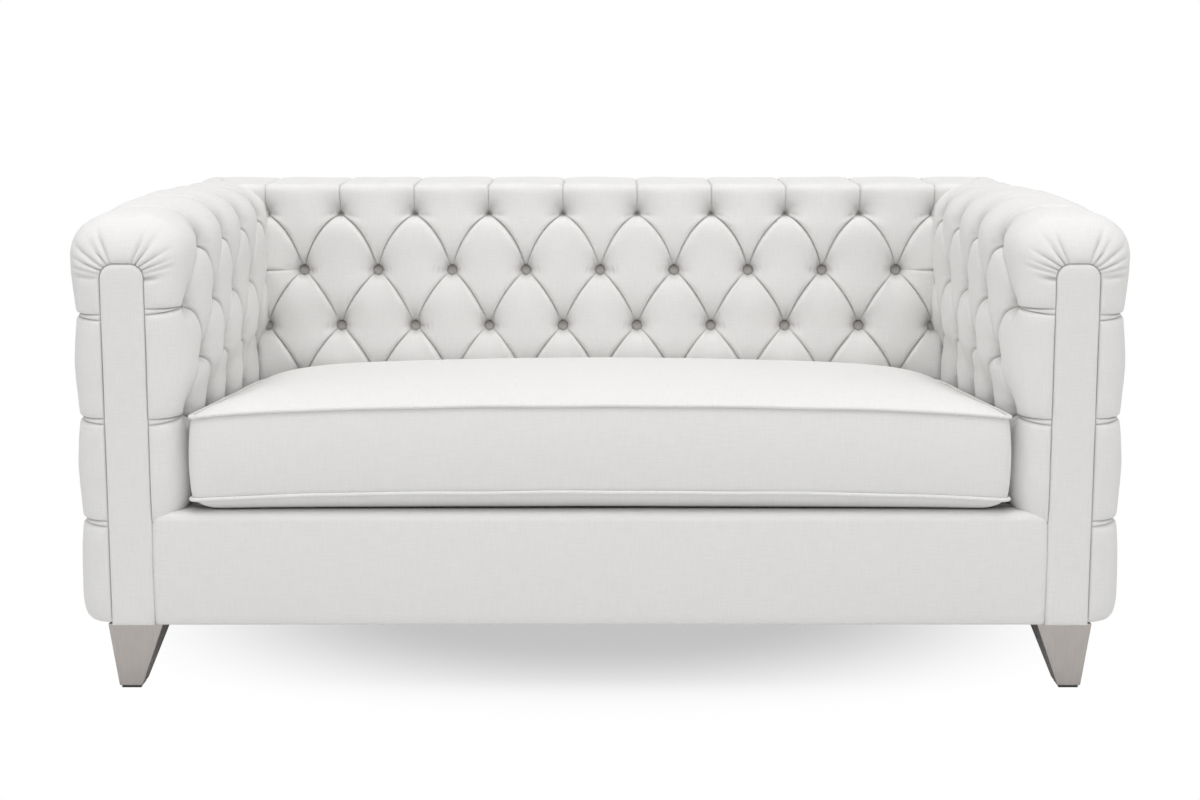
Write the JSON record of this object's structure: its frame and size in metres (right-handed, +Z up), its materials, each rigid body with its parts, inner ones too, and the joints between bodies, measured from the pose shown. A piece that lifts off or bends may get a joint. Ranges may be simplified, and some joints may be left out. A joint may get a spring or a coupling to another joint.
{
  "type": "loveseat",
  "caption": "Button-tufted loveseat with arms as high as the back, a loose bench cushion with piped seams, a plain front border and tapered metal legs.",
  "frame": {"origin": "centre of the bounding box on the floor, under the four glides", "axes": "+Z up, +X to the right of someone looking at the front, the front faces -Y"},
  "size_m": [1.626, 0.8385, 0.744],
  "materials": {
    "linen": "woven linen look",
    "welt_cord": "woven linen look",
    "button_cover": "woven linen look",
    "deck_cloth": "plain lining",
    "dust_cloth": "black non-woven",
    "webbing": "woven band",
    "zip_tape": "woven tape",
    "zip_metal": "satin",
    "frame_wood": "sawn",
    "fibreboard": "plain",
    "spring_steel": "oiled",
    "leg_metal": "satin",
    "glide_plastic": "matte"
  },
  "bodies": {
    "frame": {"back_buttons": "button_cover", "back_pad": "linen", "back_roll": "linen", "back_tack_rail": "frame_wood", "back_top_rail": "frame_wood", "back_uprights": "frame_wood", "back_webbing": "webbing", "corner_blocks": "frame_wood", "deck_pad": "deck_cloth", "dust_cover": "dust_cloth", "front_border_pad": "linen", "front_seat_rail": "frame_wood", "left_arm_facing": "linen", "left_arm_front_post": "frame_wood", "left_arm_inner_board": "fibreboard", "left_arm_inner_buttons": "button_cover", "left_arm_inner_pad": "linen", "left_arm_outer_board": "fibreboard", "left_arm_outer_buttons": "button_cover", "left_arm_outer_pad": "linen", "left_arm_rear_post": "frame_wood", "left_arm_roll": "linen", "left_arm_tack_rail": "frame_wood", "left_arm_top_rail": "frame_wood", "left_back_post": "frame_wood", "left_front_leg": "leg_metal", "left_rear_leg": "leg_metal", "left_seat_side_rail": "frame_wood", "leg_bolts": "spring_steel", "leg_glides": "glide_plastic", "leg_inserts": "spring_steel", "leg_plates": "spring_steel", "outside_back_panel": "linen", "rear_seat_rail": "frame_wood", "rear_spring_rail": "frame_wood", "right_arm_facing": "linen", "right_arm_front_post": "frame_wood", "right_arm_inner_board": "fibreboard", "right_arm_inner_buttons": "button_cover", "right_arm_inner_pad": "linen", "right_arm_outer_board": "fibreboard", "right_arm_outer_buttons": "button_cover", "right_arm_outer_pad": "linen", "right_arm_rear_post": "frame_wood", "right_arm_roll": "linen", "right_arm_tack_rail": "frame_wood", "right_arm_top_rail": "frame_wood", "right_back_post": "frame_wood", "right_front_leg": "leg_metal", "right_rear_leg": "leg_metal", "right_seat_side_rail": "frame_wood", "seat_cross_brace": "frame_wood", "seat_springs": "spring_steel", "spring_clips": "spring_steel"},
    "seat_cushion": {"seat_cushion": "linen", "cushion_top_welt": "welt_cord", "cushion_bottom_welt": "welt_cord", "cushion_zip": "zip_tape"},
    "zip_slider": {"zip_slider": "zip_metal"}
  },
  "joints": [
    {"name": "cushion_lift", "type": "slide", "parent": "frame", "child": "seat_cushion", "axis": [0, 0, 1], "range_m": [0, 0.5]},
    {"name": "zip_run", "type": "slide", "parent": "seat_cushion", "child": "zip_slider", "axis": [-1, 0, 0], "range_m": [0, 1.09]}
  ]
}
